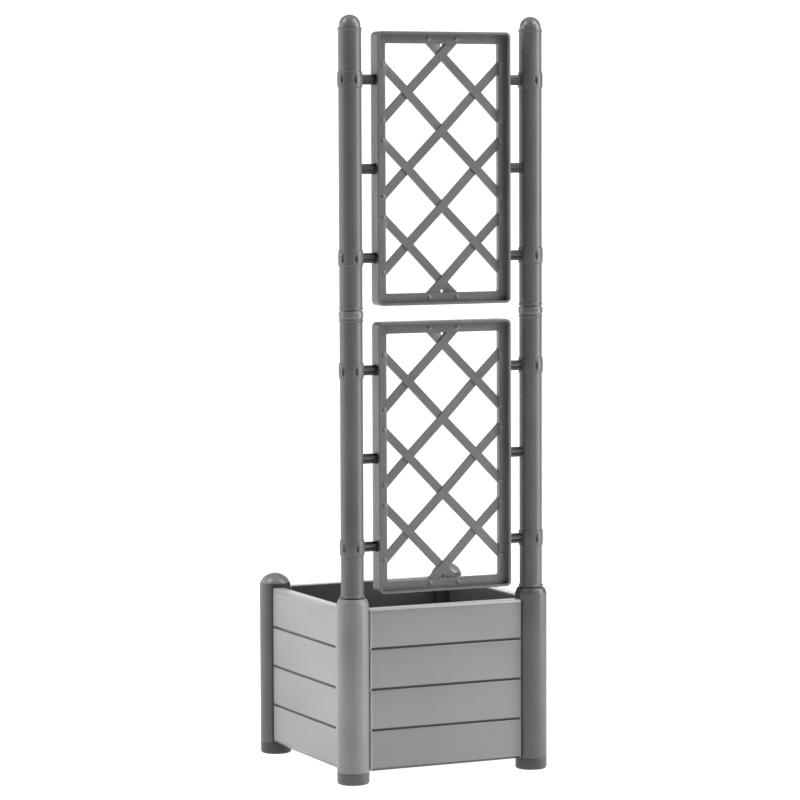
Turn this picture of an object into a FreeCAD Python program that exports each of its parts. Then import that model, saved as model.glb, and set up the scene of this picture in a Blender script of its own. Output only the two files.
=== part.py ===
import FreeCAD, Part
import math
import os

# Planter with trellis. A square box on four round posts carries two lattice panels between two
# tubes. Millimetres; X runs along the trellis face, Y from that face to the back, Z up. The
# origin is the middle of the footprint, on the ground.

# ---- box: posts, feet and panels -----------------------------------------------------------
post_diameter = 60.0
post_wall = 3.5
post_rise = 7.5             # flat upper end of a rear post, above the panels
seam_chamfer = 0.5          # small chamfer on both edges of a seam
foot_height = 22.0          # foot cap below the post
foot_edge_radius = 5.0
foot_floor = 4.0
foot_hub_diameter = 41.0
foot_hub_wall = 2.5
foot_plug_height = 18.0     # part of the foot cap that stands inside the post
foot_fin_thickness = 3.0

board_height = 76.0         # one moulded board of a side panel
boards_per_panel = 4
panel_outer_offset = 17.0   # outer face of a panel, outside the line of the post axes
panel_inner_offset = 8.0    # inner face of a panel, inside the line of the post axes
panel_wall = 3.0
panel_top_outer_radius = 7.0
panel_top_inner_radius = 3.0
panel_bottom_radius = 10.0
panel_underside_lip = 3.0   # how far the outer skin turns in under the panel
panel_bays = 5              # hollow bays between the upright ribs inside a panel
groove_depth = 3.0
groove_round = 3.0          # rounded upper edge of the board below the groove
groove_bed = 4.2            # height of the flat bed of the groove
groove_lip_slope = 0.8      # undercut of the board above
groove_end_strip = 10.0     # plain strip at the front end of a left or right panel
panel_end_round = 4.0       # rounded upright outer edges of a panel, beside the posts
tongue_thickness = 5.0
tongue_head_width = 10.0
tongue_head_depth = 4.0
tongue_top_drop = 8.0       # tongue ends this far below the panel's top edge

floor_thickness = 4.0
floor_rib_height = 8.0
floor_rib_thickness = 3.0
floor_ribs_each_way = 3
ledge_top = 34.0            # height of the ledges that carry the floor plate
ledge_thickness = 4.0
ledge_depth = 8.0
ledge_end_inset = 20.0
drain_hole_diameter = 10.0
drain_holes_each_way = 4

# ---- rear post caps, and the shoulder and socket on each front post ----------------------
cap_rim_diameter = 57.4
cap_rim_height = 0.8
cap_dome_height = 18.4
cap_shell = 2.5
cap_plug_depth = 11.0
shoulder_step = 1.5         # front posts stay round this far above the height of the rear ones
shoulder_height = 11.0
shoulder_top_diameter = 50.0
shoulder_bulge = 0.9        # how far the sloped shoulder bows outwards
socket_wall = 2.5
socket_depth = 75.0

# ---- trellis tubes -----------------------------------------------------------------------
tube_diameter = 42.4
tube_wall = 2.5
tube_end_margin = 6.0       # tube end lip beyond the end of the lattice panel beside it
tube_lip_diameter = 44.8
tube_lip_height = 2.6
tube_lip_taper = 1.8
foot_lip_diameter = 46.4    # larger lip that covers the socket
foot_neck_diameter = 38.4
foot_neck_height = 2.2
spigot_diameter = 36.0
spigot_length = 70.0
tube_floor = 4.0
swell_height = 30.0         # barrel-shaped swelling at the outer pegs
swell_diameter = 46.8
swell_edge_diameter = 45.2
swell_edge_height = 1.2
pocket_places = 6           # places for upright oval pockets; the two beside the peg stay solid
pocket_height = 19.0
pocket_width = 8.2
pocket_floor_diameter = 40.6

coupler_ring_height = 14.6
coupler_ring_diameter = 45.4
coupler_ring_round = 1.2
coupler_low_neck_height = 1.2
coupler_low_neck_diameter = 41.6
coupler_high_neck_height = 2.2
coupler_high_neck_diameter = 39.0
coupler_sleeve_length = 40.0
coupler_wall = 2.5
button_width = 14.0         # snap button on the front of the ring
button_height = 8.0
button_lift = 1.0

finial_diameter = 40.0
finial_rim_height = 3.2
finial_height = 23.7
finial_plug_length = 22.0
finial_wall = 2.5

# ---- lattice panels and their pegs -------------------------------------------------------
frame_width = 272.0
frame_gap = 49.0            # from a tube's axis to the side of the lattice panel
frame_height = 504.0
frame_depth = 33.0
frame_wall = 4.5
frame_corner_radius = 10.0
frame_edge_radius = 1.5     # rounded front and back edges of the outer wall
web_thickness = 10.0
stile_width = 20.0          # face of the side rails, outer edge to opening
rail_height = 22.0          # face of the top and bottom rails
opening_corner_radius = 3.0
lattice_pitch = 140.0       # between crossings, both along X and along Z
slats_each_way = 4
slat_width = 15.6
slat_high = 3.6             # height of a slat's face over the mid-plane where it passes over
slat_low = 1.5              # and where it passes under
slat_flat = 24.0            # level stretch at each crossing
ramp_width = 3.4            # slope from a side rail down to a slat that passes under it
nub_diameter = 9.6
nub_height = 1.8
nub_inset = 4.9             # from the opening's side edge to the middle of a nub
nub_inset_rail = 8.5        # from the opening's upper or lower edge
tie_hole_diameter = 6.5
tie_hole_inset = 2.4        # from the opening's edge to the middle of the tie hole

peg_pitch = 163.5
peg_diameter = 19.0
peg_flutes = 12
peg_flute_diameter = 2.6
peg_reach = 16.0            # inner end of a peg, from the tube's axis
peg_flange_diameter = 20.6
peg_flange_thickness = 3.0
peg_tip_diameter = 6.0
peg_tip_length = 12.0

# ---- clearances --------------------------------------------------------------------------
seat_gap = 0.3              # under a piece that lifts off, at rest
fit_gap = 0.3               # radial, of a plug, spigot or tongue
sleeve_gap = 0.2            # radial, of a coupler or finial in a tube

# ---- worked out from the sizes above -----------------------------------------------------
half_spacing = frame_width / 2 + frame_gap
post_radius = post_diameter / 2
post_bore_radius = post_radius - post_wall
panel_bottom = foot_height
panel_top = panel_bottom + boards_per_panel * board_height
post_top = panel_top + post_rise
tongue_top = panel_top - tongue_top_drop
tongue_head_outer = math.sqrt((post_bore_radius - fit_gap) ** 2 - (tongue_head_width / 2) ** 2) - fit_gap
tongue_head_inner = tongue_head_outer - tongue_head_depth
shoulder_base = post_top + shoulder_step
socket_top = shoulder_base + shoulder_height
socket_radius = spigot_diameter / 2 + fit_gap
tube_length = frame_height + 2 * tube_end_margin
tube_radius = tube_diameter / 2
tube_bore_radius = tube_radius - tube_wall
lower_tube_bottom = socket_top + seat_gap
lower_tube_top = lower_tube_bottom + tube_length
coupler_height = coupler_low_neck_height + coupler_ring_height + coupler_high_neck_height
upper_tube_bottom = lower_tube_top + coupler_height
upper_tube_top = upper_tube_bottom + tube_length
sleeve_radius = tube_bore_radius - sleeve_gap
opening_half_width = frame_width / 2 - stile_width
opening_half_height = frame_height / 2 - rail_height
lower_middle = lower_tube_bottom + tube_length / 2
upper_middle = upper_tube_bottom + tube_length / 2

SIDES = {"left": -1, "right": 1}
ENDS = {"front": -1, "rear": 1}
PEG_ROWS = {"bottom": -1, "middle": 0, "top": 1}
CORNERS = [(side, end) for end in ENDS for side in SIDES]


def vec(x, y, z):
    return FreeCAD.Vector(x, y, z)


def outline(start, steps):
    """Face in the XZ plane. A step is the next point, or an arc's middle and end point."""
    edges = []
    here = start
    for step in steps:
        if isinstance(step[0], tuple):
            middle, there = step
            points = [vec(p[0], 0, p[1]) for p in (here, middle, there)]
            edges.append(Part.Arc(*points).toShape())
        else:
            there = step
            edges.append(Part.makeLine(vec(here[0], 0, here[1]), vec(there[0], 0, there[1])))
        here = there
    return Part.Face(Part.Wire(edges))


def turned(start, steps, x=0.0, y=0.0):
    """Solid turned about the upright line through (x, y) from a profile of (radius, height)."""
    solid = outline(start, steps).revolve(vec(0, 0, 0), vec(0, 0, 1), 360)
    solid.translate(vec(x, y, 0))
    return solid


def bar(x0, x1, y0, y1, z0, z1):
    return Part.makeBox(x1 - x0, y1 - y0, z1 - z0, vec(x0, y0, z0))


def rod(radius, z0, z1, x=0.0, y=0.0):
    return Part.makeCylinder(radius, z1 - z0, vec(x, y, z0))


def cross_rod(radius, x0, x1, y, z):
    return Part.makeCylinder(radius, x1 - x0, vec(x0, y, z), vec(1, 0, 0))


def spun(solid, degrees):
    copy = solid.copy()
    copy.rotate(vec(0, 0, 0), vec(0, 0, 1), degrees)
    return copy


def corner_point(side, end):
    return SIDES[side] * half_spacing, ENDS[end] * half_spacing


def save(solid, name):
    whole = solid.removeSplitter()
    if len(whole.Solids) != 1 or not whole.isValid():
        raise ValueError(name + " is not one valid solid")
    whole.Solids[0].exportStep("parts/" + name + ".step")


def socket_steps():
    """Shoulder of a front post and the sleeve inside it that takes the tube's spigot."""
    top_radius = shoulder_top_diameter / 2
    sleeve = socket_radius + socket_wall
    sleeve_end = socket_top - socket_depth
    bowed_radius = (post_radius + top_radius) / 2 + shoulder_bulge
    bowed_height = (shoulder_base + socket_top) / 2 + shoulder_bulge
    return [
        (post_radius, shoulder_base),
        ((bowed_radius, bowed_height), (top_radius, socket_top)),
        (socket_radius, socket_top),
        (socket_radius, sleeve_end),
        (sleeve, sleeve_end),
        (sleeve, socket_top - post_wall),
        (post_bore_radius, post_top),
    ]


def corner_post(side, end):
    x, y = corner_point(side, end)
    steps = [(post_radius - seam_chamfer, foot_height), (post_radius, foot_height + seam_chamfer)]
    if end == "front":
        steps += socket_steps()
    else:
        steps += [
            (post_radius, post_top - seam_chamfer),
            (post_radius - seam_chamfer, post_top),
            (post_bore_radius, post_top),
        ]
    steps += [(post_bore_radius, foot_height)]
    post = turned(steps[-1], steps)
    slot_half = tongue_thickness / 2 + fit_gap
    slot_top = tongue_top + fit_gap
    start = tongue_head_outer
    along_x = bar(start, post_radius, -slot_half, slot_half, foot_height, slot_top)
    along_y = bar(-slot_half, slot_half, start, post_radius, foot_height, slot_top)
    if SIDES[side] > 0:
        along_x = spun(along_x, 180)
    if ENDS[end] > 0:
        along_y = spun(along_y, 180)
    post = post.cut([along_x, along_y])
    post.translate(vec(x, y, 0))
    return post


def foot_cap(side, end):
    x, y = corner_point(side, end)
    hub = foot_hub_diameter / 2
    hub_bore = hub - foot_hub_wall
    plug_top = foot_height + foot_plug_height
    edge = foot_edge_radius
    bow = edge * (1 - math.cos(math.pi / 4))
    cap = turned((0, 0), [
        (post_radius - edge, 0),
        ((post_radius - bow, bow), (post_radius, edge)),
        (post_radius, foot_height - seam_chamfer),
        (post_radius - seam_chamfer, foot_height),
        (post_bore_radius, foot_height),
        (post_bore_radius, foot_floor),
        (hub, foot_floor),
        (hub, plug_top),
        (hub_bore, plug_top),
        (hub_bore, foot_floor),
        (0, foot_floor),
        (0, 0),
    ])
    half = foot_fin_thickness / 2
    seats = bar(-post_bore_radius - half, post_bore_radius + half, -half, half, foot_floor / 2, foot_height)
    guide_reach = post_bore_radius - fit_gap
    guides = bar(-guide_reach, guide_reach, -half, half, foot_floor / 2, plug_top)
    fins = seats.fuse([spun(seats, 90), spun(guides, 45), spun(guides, 135)])
    cap = cap.fuse(fins).cut(rod(hub_bore, foot_floor, plug_top))
    cap.translate(vec(x, y, 0))
    return cap


def joint_heights():
    return [panel_bottom + k * board_height for k in range(1, boards_per_panel)]


def groove_profile(height):
    """Section of one groove: rounded edge of the board below, flat bed, undercut board above."""
    face = panel_outer_offset
    bed = face - groove_depth
    edge = height - groove_round
    bow = math.sqrt(0.5)
    clear = face + groove_depth
    return outline((face, edge), [
        ((face - groove_depth * (1 - bow), edge + groove_round * bow), (bed, height)),
        (bed, height + groove_bed - groove_lip_slope),
        (face, height + groove_bed),
        (clear, height + groove_bed),
        (clear, edge),
        (face, edge),
    ])


def panel_profile():
    """Section of a side panel: X is outwards from the line of the post axes, Z is height."""
    face = panel_outer_offset
    back = -panel_inner_offset
    low = panel_bottom_radius
    high = panel_top_outer_radius
    inner = panel_top_inner_radius
    bend = 1 - math.sqrt(0.5)
    return outline((face, panel_bottom + low), [
        (face, panel_top - high),
        ((face - high * bend, panel_top - high * bend), (face - high, panel_top)),
        (back + inner, panel_top),
        ((back + inner * bend, panel_top - inner * bend), (back, panel_top - inner)),
        (back, panel_bottom),
        (face - low, panel_bottom),
        ((face - low * bend, panel_bottom + low * bend), (face, panel_bottom + low)),
    ])


def panel_hollow_profile():
    """Section of the hollow inside a side panel, open at the underside."""
    face = panel_outer_offset - panel_wall
    back = -panel_inner_offset + panel_wall
    top = panel_top - panel_wall
    low = panel_bottom_radius
    high = panel_top_outer_radius - panel_wall
    lip = panel_outer_offset - low - panel_underside_lip
    steps = []
    for height in joint_heights():
        bottom = height - groove_round - panel_wall
        upper = height + groove_bed + panel_wall
        steps += [(face, bottom), (face - groove_depth, bottom)]
        steps += [(face - groove_depth, upper), (face, upper)]
    steps += [
        (face, top - high),
        (face - high, top),
        (back, top),
        (back, panel_bottom - panel_wall),
        (lip, panel_bottom - panel_wall),
        (lip, panel_bottom + panel_wall),
        (panel_outer_offset - low, panel_bottom + panel_wall),
        (face, panel_bottom + low),
    ]
    return outline((face, panel_bottom + low), steps)


def along_front(face, x0, x1):
    """Prism of a panel section along the front edge of the box, from x0 to x1."""
    section = face.copy()
    section.rotate(vec(0, 0, 0), vec(0, 0, 1), -90)
    section.translate(vec(x0, -half_spacing, 0))
    return section.extrude(vec(x1 - x0, 0, 0))


def panel_tongue():
    """Upright T-shaped tongue at the panel's right end, which slides up into the post."""
    neck_half = tongue_thickness / 2
    head_half = tongue_head_width / 2
    root = half_spacing - post_radius - fit_gap - panel_wall / 2
    shoulder = half_spacing - tongue_head_outer
    tip = half_spacing - tongue_head_inner
    front = -half_spacing
    neck = bar(root, shoulder, front - neck_half, front + neck_half, panel_bottom, tongue_top)
    head = bar(shoulder, tip, front - head_half, front + head_half, panel_bottom, tongue_top)
    return neck.fuse(head)


def panel_plan():
    """Upright block that fills the space between two front posts, its outer end edges rounded."""
    face = -half_spacing - panel_outer_offset
    back = -half_spacing + panel_inner_offset
    block = bar(-half_spacing, half_spacing, face, back, panel_bottom, panel_top)
    post_space = post_radius + fit_gap
    block = block.cut([rod(post_space, 0, post_top, s * half_spacing, -half_spacing) for s in (-1, 1)])
    ends = [e for e in block.Edges if e.BoundBox.YMax < face + fit_gap and e.BoundBox.ZLength > board_height]
    return block.makeFillet(panel_end_round, ends)


def side_panel(plain_end=0):
    """A panel in the place of the front one. Its grooves stop short of the plain end, -1 or 1."""
    panel = along_front(panel_profile(), -half_spacing, half_spacing).common(panel_plan())
    post_space = post_radius + fit_gap
    cuts = []
    hollow = panel_hollow_profile()
    reach = half_spacing - post_space - panel_wall
    bay = (2 * reach - (panel_bays - 1) * panel_wall) / panel_bays
    for k in range(panel_bays):
        start = -reach + k * (bay + panel_wall)
        cuts.append(along_front(hollow, start, start + bay))
    stop = post_space + groove_end_strip
    groove_start = -half_spacing + (stop if plain_end < 0 else 0)
    groove_finish = half_spacing - (stop if plain_end > 0 else 0)
    for height in joint_heights():
        cuts.append(along_front(groove_profile(height), groove_start, groove_finish))
    panel = panel.cut(cuts)
    ledge_end = reach - ledge_end_inset
    ledge_root = -half_spacing + panel_inner_offset - panel_wall / 2
    ledge_tip = -half_spacing + panel_inner_offset + ledge_depth
    ledge = bar(-ledge_end, ledge_end, ledge_root, ledge_tip, ledge_top - ledge_thickness, ledge_top)
    tongue = panel_tongue()
    return panel.fuse([ledge, tongue, tongue.mirror(vec(0, 0, 0), vec(1, 0, 0))])


def floor_plate():
    half = half_spacing - panel_inner_offset - fit_gap
    plate = bar(-half, half, -half, half, ledge_top, ledge_top + floor_thickness)
    rib_half = half - ledge_depth - fit_gap
    rib_pitch = 2 * rib_half / (floor_ribs_each_way + 1)
    ribs = []
    for k in range(floor_ribs_each_way):
        place = -rib_half + (k + 1) * rib_pitch
        low = place - floor_rib_thickness / 2
        rib = bar(low, low + floor_rib_thickness, -rib_half, rib_half,
                  ledge_top - floor_rib_height, ledge_top + floor_thickness / 2)
        ribs += [rib, spun(rib, 90)]
    plate = plate.fuse(ribs)
    top = ledge_top + floor_thickness
    holes = []
    for i in range(drain_holes_each_way):
        for j in range(drain_holes_each_way):
            x = -rib_half + (i + 0.5) * 2 * rib_half / drain_holes_each_way
            y = -rib_half + (j + 0.5) * 2 * rib_half / drain_holes_each_way
            holes.append(rod(drain_hole_diameter / 2, ledge_top - floor_rib_height, top, x, y))
    for side, end in CORNERS:
        x, y = corner_point(side, end)
        holes.append(rod(post_radius + fit_gap, 0, post_top, x, y))
    return plate.cut(holes)


def sphere_through(radius, rise):
    """Radius of the ball whose cap has this base radius and rise."""
    return (radius ** 2 + rise ** 2) / (2 * rise)


def dome_arc(radius, base, rise):
    """Arc step from a dome's rim up to its pole."""
    ball = sphere_through(radius, rise)
    angle = math.atan2(radius, ball - rise) / 2
    middle = (ball * math.sin(angle), base + rise - ball + ball * math.cos(angle))
    return (middle, (0, base + rise))


def rear_post_cap(side):
    x, y = corner_point(side, "rear")
    rim = cap_rim_diameter / 2
    base = post_top + seat_gap
    dome_base = base + cap_rim_height
    plug = post_bore_radius - fit_gap
    inside = plug - cap_shell
    inner_rise = cap_dome_height - cap_shell
    under = dome_arc(inside, dome_base, inner_rise)
    plug_end = post_top - cap_plug_depth
    return turned((plug, plug_end), [
        (plug, base),
        (rim, base),
        (rim, dome_base),
        dome_arc(rim, dome_base, cap_dome_height),
        under[1],
        (under[0], (inside, dome_base)),
        (inside, plug_end),
        (plug, plug_end),
    ], x, y)


def swell_steps(middle):
    """Barrel-shaped swelling on a tube, met from below."""
    half = swell_height / 2
    edge = swell_edge_diameter / 2
    inner = half - swell_edge_height
    return [
        (tube_radius, middle - half),
        (edge, middle - inner),
        ((swell_diameter / 2, middle), (edge, middle + inner)),
        (tube_radius, middle + half),
    ]


def tube_side_steps(bottom, lip_base, lip_radius):
    """Outside of a tube from its bottom lip to its top lip."""
    end_lip = tube_lip_diameter / 2
    middle = bottom + tube_length / 2
    top = bottom + tube_length
    lip_top = lip_base + tube_lip_height
    steps = [(lip_radius, lip_base), (lip_radius, lip_top), (tube_radius, lip_top + tube_lip_taper)]
    steps += swell_steps(middle - peg_pitch)
    steps += swell_steps(middle + peg_pitch)
    steps += [(tube_radius, top - tube_lip_height - tube_lip_taper), (end_lip, top - tube_lip_height)]
    steps += [(end_lip, top)]
    return steps


def oval_pockets(middle):
    """Cutters for the upright oval pockets round one swelling."""
    ellipse = Part.Ellipse(vec(0, 0, middle), pocket_height / 2, pocket_width / 2)
    face = Part.Face(Part.Wire([ellipse.toShape()]))
    face.rotate(vec(0, 0, middle), vec(0, 1, 0), 90)
    face.translate(vec(pocket_floor_diameter / 2, 0, 0))
    cutter = face.extrude(vec(swell_diameter, 0, 0))
    step = 360.0 / pocket_places
    return [spun(cutter, (k + 0.5) * step) for k in range(1, pocket_places - 1)]


def tube_openings(middle):
    """Pockets of both swellings and the three peg holes, which face along +X."""
    cutters = oval_pockets(middle - peg_pitch) + oval_pockets(middle + peg_pitch)
    hole = peg_diameter / 2 + sleeve_gap
    for row in PEG_ROWS.values():
        cutters.append(cross_rod(hole, 0, swell_diameter, 0, middle + row * peg_pitch))
    return cutters


def stood(tube, side):
    """A tube placed on its front post, with its peg holes towards the lattice."""
    x, y = corner_point(side, "front")
    if SIDES[side] > 0:
        tube = spun(tube, 180)
    tube.translate(vec(x, y, 0))
    return tube


def lower_tube(side):
    bottom = lower_tube_bottom
    spigot = spigot_diameter / 2
    neck = foot_neck_diameter / 2
    lip_base = bottom + foot_neck_height
    steps = [(spigot, bottom - spigot_length), (spigot, bottom), (neck, bottom), (neck, lip_base)]
    steps += tube_side_steps(bottom, lip_base, foot_lip_diameter / 2)
    steps += [(tube_bore_radius, lower_tube_top)]
    steps += [(tube_bore_radius, bottom + tube_floor + tube_wall), (spigot - tube_wall, bottom + tube_floor)]
    steps += [(spigot - tube_wall, bottom - spigot_length)]
    tube = turned(steps[-1], steps).cut(tube_openings(lower_middle))
    return stood(tube, side)


def upper_tube(side):
    bottom = upper_tube_bottom
    steps = tube_side_steps(bottom, bottom, tube_lip_diameter / 2)
    steps += [(tube_bore_radius, upper_tube_top), (tube_bore_radius, bottom)]
    tube = turned(steps[-1], steps).cut(tube_openings(upper_middle))
    return stood(tube, side)


def tube_coupler(side):
    x, y = corner_point(side, "front")
    base = lower_tube_top
    ring_low = base + coupler_low_neck_height
    ring_high = ring_low + coupler_ring_height
    top = upper_tube_bottom
    ring = coupler_ring_diameter / 2
    edge = coupler_ring_round
    bow = edge * (1 - math.sqrt(0.5))
    low_neck = coupler_low_neck_diameter / 2
    high_neck = coupler_high_neck_diameter / 2
    bore = sleeve_radius - coupler_wall
    coupler = turned((bore, base - coupler_sleeve_length), [
        (sleeve_radius, base - coupler_sleeve_length),
        (sleeve_radius, base),
        (low_neck, base),
        (low_neck, ring_low),
        (ring - edge, ring_low),
        ((ring - bow, ring_low + bow), (ring, ring_low + edge)),
        (ring, ring_high - edge),
        ((ring - bow, ring_high - bow), (ring - edge, ring_high)),
        (high_neck, ring_high),
        (high_neck, top),
        (sleeve_radius, top),
        (sleeve_radius, top + coupler_sleeve_length),
        (bore, top + coupler_sleeve_length),
        (bore, base - coupler_sleeve_length),
    ])
    middle = (ring_low + ring_high) / 2
    button = bar(-button_width / 2, button_width / 2, -ring - button_lift, -sleeve_radius,
                 middle - button_height / 2, middle + button_height / 2)
    button = button.common(rod(ring + button_lift, base, top))
    coupler = coupler.fuse(button)
    coupler.translate(vec(x, y, 0))
    return coupler


def tube_finial(side):
    x, y = corner_point(side, "front")
    base = upper_tube_top
    rim = finial_diameter / 2
    dome_base = base + finial_rim_height
    rise = finial_height - finial_rim_height
    inside = sleeve_radius - finial_wall
    under = dome_arc(inside, dome_base, rise - finial_wall)
    plug_end = base - finial_plug_length
    return turned((inside, plug_end), [
        (sleeve_radius, plug_end),
        (sleeve_radius, base),
        (rim, base),
        (rim, dome_base),
        dome_arc(rim, dome_base, rise),
        under[1],
        (under[0], (inside, dome_base)),
        (inside, plug_end),
    ], x, y)


def rounded_plate(width, height, depth, radius):
    """Upright plate about the origin with rounded corners; its faces look along Y."""
    w = width / 2
    h = height / 2
    bend = radius * (1 - math.sqrt(0.5))
    face = outline((w, -h + radius), [
        (w, h - radius),
        ((w - bend, h - bend), (w - radius, h)),
        (-w + radius, h),
        ((-w + bend, h - bend), (-w, h - radius)),
        (-w, -h + radius),
        ((-w + bend, -h + bend), (-w + radius, -h)),
        (w - radius, -h),
        ((w - bend, -h + bend), (w, -h + radius)),
    ])
    face.translate(vec(0, -depth / 2, 0))
    return face.extrude(vec(0, depth, 0))


def slat_heights():
    """Heights at which the slats cross the panel's centre line, from its middle."""
    middle = (slats_each_way - 1) / 2
    return [(k - middle) * lattice_pitch for k in range(slats_each_way)]


def woven_strip(over_at_middle):
    """One slat along X through the origin that passes over and under its neighbours in turn."""
    step = lattice_pitch / math.sqrt(2)
    reach = math.ceil(frame_height / lattice_pitch) + 1
    face = []
    back = []
    for k in range(-reach, reach + 1):
        over = (k % 2 == 0) == over_at_middle
        front = slat_high if over else slat_low
        rear = slat_low if over else slat_high
        for end in (-1, 1):
            s = k * step + end * slat_flat / 2
            face.append((s, -front))
            back.append((s, rear))
    points = face + back[::-1]
    wire = Part.makePolygon([vec(p[0], p[1], -slat_width / 2) for p in points + points[:1]])
    return Part.Face(wire).extrude(vec(0, 0, slat_width))


def slat(height, rising):
    """A slat at 45 degrees; a rising one passes over on the panel's centre line."""
    strip = woven_strip(over_at_middle=rising)
    strip.rotate(vec(0, 0, 0), vec(0, 1, 0), -45 if rising else 45)
    strip.translate(vec(0, 0, height))
    return strip


def slat_ends(rising):
    """Where the slats' centre lines leave the opening: (x, z, at a side rail or not)."""
    ends = []
    slope = 1 if rising else -1
    for height in slat_heights():
        for side in (-1, 1):
            x = side * opening_half_width
            z = height + slope * x
            if abs(z) < opening_half_height:
                ends.append((x, z, True))
            else:
                z = math.copysign(opening_half_height, z)
                ends.append((slope * (z - height), z, False))
    return ends


def side_ramps():
    """Slopes from the face of the side rails down to the falling slats that pass under."""
    ramps = []
    reach = slat_width
    for x, z, at_side in slat_ends(rising=False):
        if not at_side:
            continue
        inwards = -math.copysign(1, x)
        web = web_thickness / 2
        corners = [(x, -web), (x + inwards * ramp_width, -slat_low), (x, -slat_low)]
        points = [vec(p[0], p[1], z - reach) for p in corners + corners[:1]]
        wedge = Part.Face(Part.makePolygon(points)).extrude(vec(0, 0, 2 * reach))
        strip = bar(-reach * 2, reach * 2, -web, 0, -slat_width / 2, slat_width / 2)
        strip.rotate(vec(0, 0, 0), vec(0, 1, 0), 45)
        strip.translate(vec(x, 0, z))
        ramps.append(wedge.common(strip))
    return ramps + [spun(ramp, 180) for ramp in ramps]


def nubs():
    """Low round heads on both faces of the rails, where the slats run into them."""
    heads = []
    radius = nub_diameter / 2
    ball = sphere_through(radius, nub_height)
    level = web_thickness / 2
    for rising in (False, True):
        slope = 1 if rising else -1
        for x, z, at_side in slat_ends(rising):
            inset = nub_inset if at_side else nub_inset_rail
            if at_side:
                shift = math.copysign(inset, x)
                place = (x + shift, z + slope * shift)
            else:
                shift = math.copysign(inset, z)
                place = (x + slope * shift, z + shift)
            centre = vec(place[0], -level - nub_height + ball, place[1])
            head = Part.makeSphere(ball, centre)
            keep = bar(place[0] - radius, place[0] + radius, -level - nub_height, 0,
                       place[1] - radius, place[1] + radius)
            head = head.common(keep)
            heads += [head, spun(head, 180)]
    return heads


def gussets():
    """Corners above the top crossing and below the bottom one, level with the lower slat."""
    edge = slat_width / math.sqrt(2)
    top = slat_heights()[-1]
    spread = opening_half_height - top + edge
    plates = []
    for up in (1, -1):
        corners = [(-spread, opening_half_height), (spread, opening_half_height), (edge, top), (-edge, top)]
        points = [vec(p[0], -slat_low, up * p[1]) for p in corners + corners[:1]]
        plates.append(Part.Face(Part.makePolygon(points)).extrude(vec(0, slat_low + slat_high, 0)))
    return plates


def lattice_panel(middle):
    outer = rounded_plate(frame_width, frame_height, frame_depth, frame_corner_radius)
    rims = [edge for edge in outer.Edges if abs(edge.BoundBox.YLength) < frame_edge_radius]
    outer = outer.makeFillet(frame_edge_radius, rims)
    inside_width = frame_width - 2 * frame_wall
    inside_height = frame_height - 2 * frame_wall
    inside_radius = frame_corner_radius - frame_wall
    inside = rounded_plate(inside_width, inside_height, frame_depth, inside_radius)
    web = rounded_plate(inside_width, inside_height, web_thickness, inside_radius)
    web = web.cut(rounded_plate(2 * opening_half_width, 2 * opening_half_height, web_thickness,
                                opening_corner_radius))
    slats = [slat(h, rising) for rising in (True, False) for h in slat_heights()]
    weave = slats[0].fuse(slats[1:] + side_ramps() + gussets() + nubs()).common(inside)
    panel = outer.cut(inside).fuse([web, weave])
    tie = opening_half_height - tie_hole_inset
    holes = []
    for z in (-tie, tie):
        holes.append(Part.makeCylinder(tie_hole_diameter / 2, frame_depth, vec(0, -frame_depth / 2, z),
                                       vec(0, 1, 0)))
    tip = peg_tip_diameter / 2 + sleeve_gap
    depth = peg_tip_length + sleeve_gap
    for row in PEG_ROWS.values():
        for side in (-1, 1):
            edge = side * frame_width / 2
            holes.append(cross_rod(tip, min(edge, edge - side * depth), max(edge, edge - side * depth),
                                   0, row * peg_pitch))
    panel = panel.cut(holes)
    panel.translate(vec(0, -half_spacing, middle))
    return panel


def fluted_peg():
    """Peg along X from the tube's axis at the origin towards the frame."""
    radius = peg_diameter / 2
    flange_start = frame_gap - peg_flange_thickness
    body = cross_rod(radius, peg_reach, flange_start, 0, 0)
    flutes = []
    for k in range(peg_flutes):
        angle = 2 * math.pi * (k + 0.5) / peg_flutes
        flutes.append(cross_rod(peg_flute_diameter / 2, peg_reach, flange_start,
                                radius * math.cos(angle), radius * math.sin(angle)))
    flange = cross_rod(peg_flange_diameter / 2, flange_start, frame_gap, 0, 0)
    tip = cross_rod(peg_tip_diameter / 2, frame_gap, frame_gap + peg_tip_length, 0, 0)
    return body.cut(flutes).fuse([flange, tip])


def peg(side, height):
    x, y = corner_point(side, "front")
    piece = fluted_peg()
    if SIDES[side] > 0:
        piece = spun(piece, 180)
    piece.translate(vec(x, y, height))
    return piece


os.makedirs("parts", exist_ok=True)

for side, end in CORNERS:
    save(corner_post(side, end), "corner_post_" + end + "_" + side)
    save(foot_cap(side, end), "foot_cap_" + end + "_" + side)

for name, turn, plain_end in (("front", 0, 0), ("right", 90, -1), ("rear", 180, 0), ("left", 270, 1)):
    save(spun(side_panel(plain_end), turn), name + "_panel")
save(floor_plate(), "floor_plate")

for side in SIDES:
    save(rear_post_cap(side), "post_cap_rear_" + side)
    save(lower_tube(side), "lower_tube_" + side)
    save(upper_tube(side), "upper_tube_" + side)
    save(tube_coupler(side), "tube_coupler_" + side)
    save(tube_finial(side), "tube_finial_" + side)

for level, middle in (("lower", lower_middle), ("upper", upper_middle)):
    save(lattice_panel(middle), level + "_lattice")
    for side in SIDES:
        for row, rank in PEG_ROWS.items():
            save(peg(side, middle + rank * peg_pitch), "peg_" + level + "_" + side + "_" + row)
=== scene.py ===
import math

import bmesh
import bpy
from mathutils import Matrix, Vector


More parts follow.
